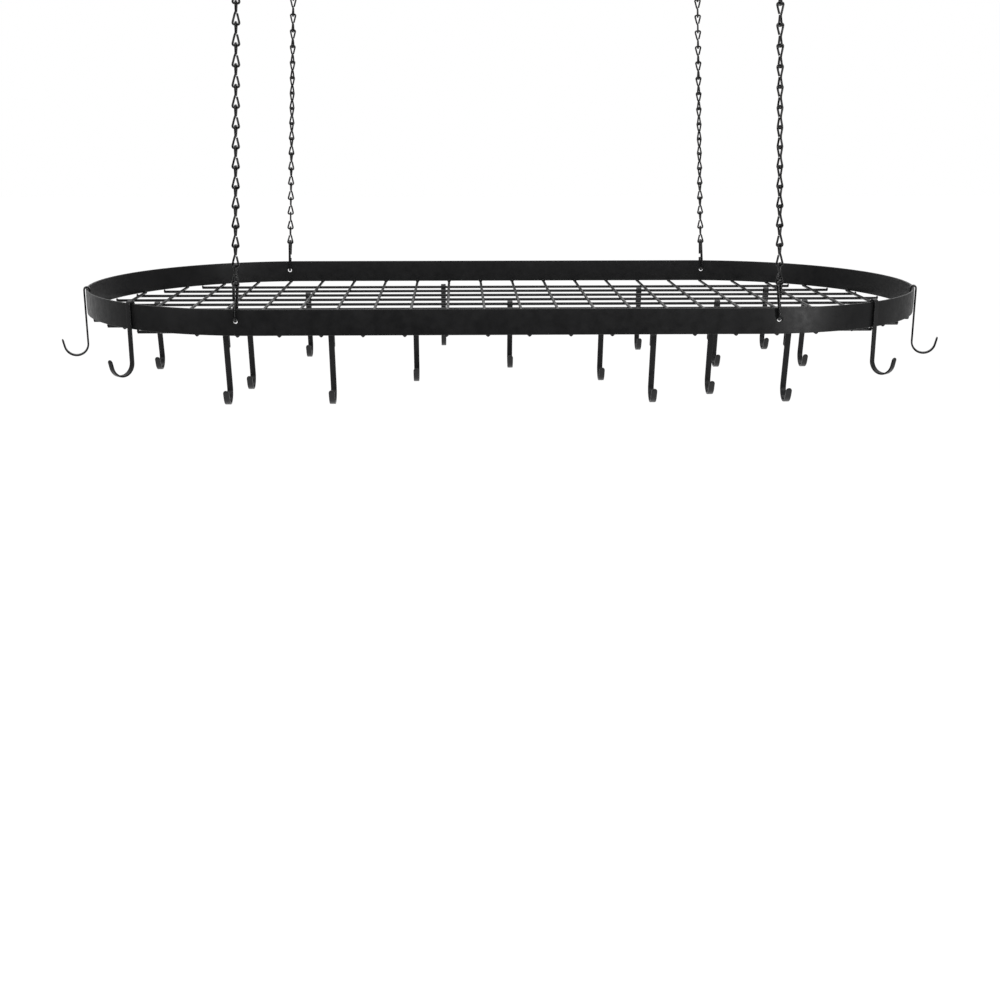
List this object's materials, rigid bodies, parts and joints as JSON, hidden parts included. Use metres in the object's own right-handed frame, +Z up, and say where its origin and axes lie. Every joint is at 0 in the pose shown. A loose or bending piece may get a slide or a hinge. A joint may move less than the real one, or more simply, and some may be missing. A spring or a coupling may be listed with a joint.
{
  "type": "hanging pot rack",
  "caption": "Oval steel band with a welded wire grid floor, hung from ceiling screw hooks on jack chains, carrying flat strip hooks for pots and pans.",
  "frame": {"origin": "in the ceiling plane, midway between the four ceiling hooks, above the middle of the oval band", "axes": "+Z up into the ceiling, +X along the rack's length, +Y from the pictured front side to the back side"},
  "size_m": [0.8979, 0.4498, 0.5071],
  "materials": {
    "powder_coated_band": "satin",
    "powder_coated_wire": "satin",
    "powder_coated_strip": "satin",
    "black_chain": "satin"
  },
  "bodies": {
    "ceiling_hooks": {"ceiling_hook_front_left": "black_chain", "ceiling_hook_front_right": "black_chain", "ceiling_hook_back_left": "black_chain", "ceiling_hook_back_right": "black_chain"},
    "ceiling_link_front_left": {"ceiling_link_front_left": "black_chain"},
    "ceiling_link_front_right": {"ceiling_link_front_right": "black_chain"},
    "ceiling_link_back_left": {"ceiling_link_back_left": "black_chain"},
    "ceiling_link_back_right": {"ceiling_link_back_right": "black_chain"},
    "chain_front_left": {"chain_front_left": "black_chain"},
    "chain_front_right": {"chain_front_right": "black_chain"},
    "chain_back_left": {"chain_back_left": "black_chain"},
    "chain_back_right": {"chain_back_right": "black_chain"},
    "rim_link_front_left": {"rim_link_front_left": "black_chain"},
    "rim_link_front_right": {"rim_link_front_right": "black_chain"},
    "rim_link_back_left": {"rim_link_back_left": "black_chain"},
    "rim_link_back_right": {"rim_link_back_right": "black_chain"},
    "rack": {"rim_band": "powder_coated_band", "wire_grid": "powder_coated_wire"},
    "utility_hook_01": {"utility_hook_01": "powder_coated_strip"},
    "utility_hook_02": {"utility_hook_02": "powder_coated_strip"},
    "utility_hook_03": {"utility_hook_03": "powder_coated_strip"},
    "utility_hook_04": {"utility_hook_04": "powder_coated_strip"},
    "utility_hook_05": {"utility_hook_05": "powder_coated_strip"},
    "utility_hook_06": {"utility_hook_06": "powder_coated_strip"},
    "utility_hook_07": {"utility_hook_07": "powder_coated_strip"},
    "utility_hook_08": {"utility_hook_08": "powder_coated_strip"},
    "utility_hook_09": {"utility_hook_09": "powder_coated_strip"},
    "utility_hook_10": {"utility_hook_10": "powder_coated_strip"},
    "utility_hook_11": {"utility_hook_11": "powder_coated_strip"},
    "utility_hook_12": {"utility_hook_12": "powder_coated_strip"},
    "utility_hook_13": {"utility_hook_13": "powder_coated_strip"},
    "utility_hook_14": {"utility_hook_14": "powder_coated_strip"},
    "utility_hook_15": {"utility_hook_15": "powder_coated_strip"},
    "utility_hook_16": {"utility_hook_16": "powder_coated_strip"},
    "utility_hook_17": {"utility_hook_17": "powder_coated_strip"},
    "utility_hook_18": {"utility_hook_18": "powder_coated_strip"},
    "utility_hook_19": {"utility_hook_19": "powder_coated_strip"},
    "utility_hook_20": {"utility_hook_20": "powder_coated_strip"}
  },
  "joints": [
    {"name": "sway_sideways", "type": "hinge", "parent": "ceiling_hooks", "child": "ceiling_link_front_left", "pos_m": [-0.23006, -0.2129, -0.036], "axis": [0, 1, 0], "range_deg": [-10, 10]},
    {"name": "sway_front_back", "type": "hinge", "parent": "ceiling_link_front_left", "child": "chain_front_left", "pos_m": [-0.23169, -0.2129, -0.06711], "axis": [1, 0, 0], "range_deg": [-12, 12]},
    {"name": "rim_link_front_left_swing", "type": "hinge", "parent": "chain_front_left", "child": "rim_link_front_left", "pos_m": [-0.24694, -0.2129, -0.35826], "axis": [1, 0, 0], "range_deg": [-12, 12]},
    {"name": "rack_keeps_level", "type": "hinge", "parent": "rim_link_front_left", "child": "rack", "pos_m": [-0.24863, -0.2129, -0.39041], "axis": [0, 1, 0], "range_deg": [-10, 10]},
    {"name": "ceiling_link_front_right_swing", "type": "hinge", "parent": "ceiling_hooks", "child": "ceiling_link_front_right", "pos_m": [0.23006, -0.2129, -0.036], "axis": [0, 1, 0], "range_deg": [-10, 10]},
    {"name": "chain_front_right_swing", "type": "hinge", "parent": "ceiling_link_front_right", "child": "chain_front_right", "pos_m": [0.23169, -0.2129, -0.06711], "axis": [1, 0, 0], "range_deg": [-12, 12]},
    {"name": "rim_link_front_right_swing", "type": "hinge", "parent": "chain_front_right", "child": "rim_link_front_right", "pos_m": [0.24694, -0.2129, -0.35826], "axis": [1, 0, 0], "range_deg": [-12, 12]},
    {"name": "ceiling_link_back_left_swing", "type": "hinge", "parent": "ceiling_hooks", "child": "ceiling_link_back_left", "pos_m": [-0.23006, 0.2129, -0.036], "axis": [0, 1, 0], "range_deg": [-10, 10]},
    {"name": "chain_back_left_swing", "type": "hinge", "parent": "ceiling_link_back_left", "child": "chain_back_left", "pos_m": [-0.23169, 0.2129, -0.06711], "axis": [1, 0, 0], "range_deg": [-12, 12]},
    {"name": "rim_link_back_left_swing", "type": "hinge", "parent": "chain_back_left", "child": "rim_link_back_left", "pos_m": [-0.24694, 0.2129, -0.35826], "axis": [1, 0, 0], "range_deg": [-12, 12]},
    {"name": "ceiling_link_back_right_swing", "type": "hinge", "parent": "ceiling_hooks", "child": "ceiling_link_back_right", "pos_m": [0.23006, 0.2129, -0.036], "axis": [0, 1, 0], "range_deg": [-10, 10]},
    {"name": "chain_back_right_swing", "type": "hinge", "parent": "ceiling_link_back_right", "child": "chain_back_right", "pos_m": [0.23169, 0.2129, -0.06711], "axis": [1, 0, 0], "range_deg": [-12, 12]},
    {"name": "rim_link_back_right_swing", "type": "hinge", "parent": "chain_back_right", "child": "rim_link_back_right", "pos_m": [0.24694, 0.2129, -0.35826], "axis": [1, 0, 0], "range_deg": [-12, 12]},
    {"name": "slide_utility_hook_01", "type": "hinge", "parent": "rack", "child": "utility_hook_01", "pos_m": [-0.201, -0.00053, -0.3917], "axis": [0, 0, 1], "range_deg": [-5, 5]},
    {"name": "slide_utility_hook_02", "type": "hinge", "parent": "rack", "child": "utility_hook_02", "pos_m": [-0.22323, -0.01508, -0.3917], "axis": [0, 0, 1], "range_deg": [-5, 5]},
    {"name": "slide_utility_hook_03", "type": "hinge", "parent": "rack", "child": "utility_hook_03", "pos_m": [0.22424, -0.01631, -0.3917], "axis": [0, 0, 1], "range_deg": [-5, 5]},
    {"name": "slide_utility_hook_04", "type": "hinge", "parent": "rack", "child": "utility_hook_04", "pos_m": [0.20189, -0.00077, -0.3917], "axis": [0, 0, 1], "range_deg": [-5, 5]},
    {"name": "swing_utility_hook_05", "type": "hinge", "parent": "rack", "child": "utility_hook_05", "pos_m": [-0.368, 0.01905, -0.40611], "axis": [1, 0, 0], "range_deg": [-80, 70]},
    {"name": "swing_utility_hook_06", "type": "hinge", "parent": "rack", "child": "utility_hook_06", "pos_m": [-0.2647, -0.17145, -0.40611], "axis": [1, 0, 0], "range_deg": [-80, 70]},
    {"name": "swing_utility_hook_07", "type": "hinge", "parent": "rack", "child": "utility_hook_07", "pos_m": [-0.2537, -0.09525, -0.40611], "axis": [1, 0, 0], "range_deg": [-80, 70]},
    {"name": "swing_utility_hook_08", "type": "hinge", "parent": "rack", "child": "utility_hook_08", "pos_m": [-0.2151, 0.09525, -0.40611], "axis": [1, 0, 0], "range_deg": [-80, 70]},
    {"name": "swing_utility_hook_09", "type": "hinge", "parent": "rack", "child": "utility_hook_09", "pos_m": [-0.1659, -0.17145, -0.40611], "axis": [1, 0, 0], "range_deg": [-80, 70]},
    {"name": "swing_utility_hook_10", "type": "hinge", "parent": "rack", "child": "utility_hook_10", "pos_m": [-0.0897, -0.05715, -0.40611], "axis": [1, 0, 0], "range_deg": [-80, 70]},
    {"name": "swing_utility_hook_11", "type": "hinge", "parent": "rack", "child": "utility_hook_11", "pos_m": [-0.0637, 0.17145, -0.40611], "axis": [1, 0, 0], "range_deg": [-80, 70]},
    {"name": "swing_utility_hook_12", "type": "hinge", "parent": "rack", "child": "utility_hook_12", "pos_m": [0.0095, 0.01905, -0.40611], "axis": [1, 0, 0], "range_deg": [-80, 70]},
    {"name": "swing_utility_hook_13", "type": "hinge", "parent": "rack", "child": "utility_hook_13", "pos_m": [0.1008, -0.05715, -0.40611], "axis": [1, 0, 0], "range_deg": [-80, 70]},
    {"name": "swing_utility_hook_14", "type": "hinge", "parent": "rack", "child": "utility_hook_14", "pos_m": [0.1634, 0.13335, -0.40611], "axis": [1, 0, 0], "range_deg": [-80, 70]},
    {"name": "swing_utility_hook_15", "type": "hinge", "parent": "rack", "child": "utility_hook_15", "pos_m": [0.1389, -0.17145, -0.40611], "axis": [1, 0, 0], "range_deg": [-80, 70]},
    {"name": "swing_utility_hook_16", "type": "hinge", "parent": "rack", "child": "utility_hook_16", "pos_m": [0.2005, -0.13335, -0.40611], "axis": [1, 0, 0], "range_deg": [-80, 70]},
    {"name": "swing_utility_hook_17", "type": "hinge", "parent": "rack", "child": "utility_hook_17", "pos_m": [0.2341, 0.01905, -0.40611], "axis": [1, 0, 0], "range_deg": [-80, 70]},
    {"name": "swing_utility_hook_18", "type": "hinge", "parent": "rack", "child": "utility_hook_18", "pos_m": [0.3118, 0.13335, -0.40611], "axis": [1, 0, 0], "range_deg": [-80, 70]},
    {"name": "swing_utility_hook_19", "type": "hinge", "parent": "rack", "child": "utility_hook_19", "pos_m": [0.2672, -0.17145, -0.40611], "axis": [1, 0, 0], "range_deg": [-80, 70]},
    {"name": "swing_utility_hook_20", "type": "hinge", "parent": "rack", "child": "utility_hook_20", "pos_m": [0.3294, 0.01905, -0.40611], "axis": [1, 0, 0], "range_deg": [-80, 70]}
  ],
  "couplings": [
    {"joint": "rack_keeps_level", "follows": "sway_sideways", "ratio": -0.92529},
    {"joint": "ceiling_link_front_right_swing", "follows": "sway_sideways", "ratio": 1},
    {"joint": "ceiling_link_back_left_swing", "follows": "sway_sideways", "ratio": 1},
    {"joint": "ceiling_link_back_right_swing", "follows": "sway_sideways", "ratio": 1},
    {"joint": "chain_front_right_swing", "follows": "sway_front_back", "ratio": 1},
    {"joint": "chain_back_left_swing", "follows": "sway_front_back", "ratio": 1},
    {"joint": "chain_back_right_swing", "follows": "sway_front_back", "ratio": 1},
    {"joint": "rim_link_front_left_swing", "follows": "sway_front_back", "ratio": -1},
    {"joint": "rim_link_front_right_swing", "follows": "sway_front_back", "ratio": -1},
    {"joint": "rim_link_back_left_swing", "follows": "sway_front_back", "ratio": -1},
    {"joint": "rim_link_back_right_swing", "follows": "sway_front_back", "ratio": -1}
  ]
}
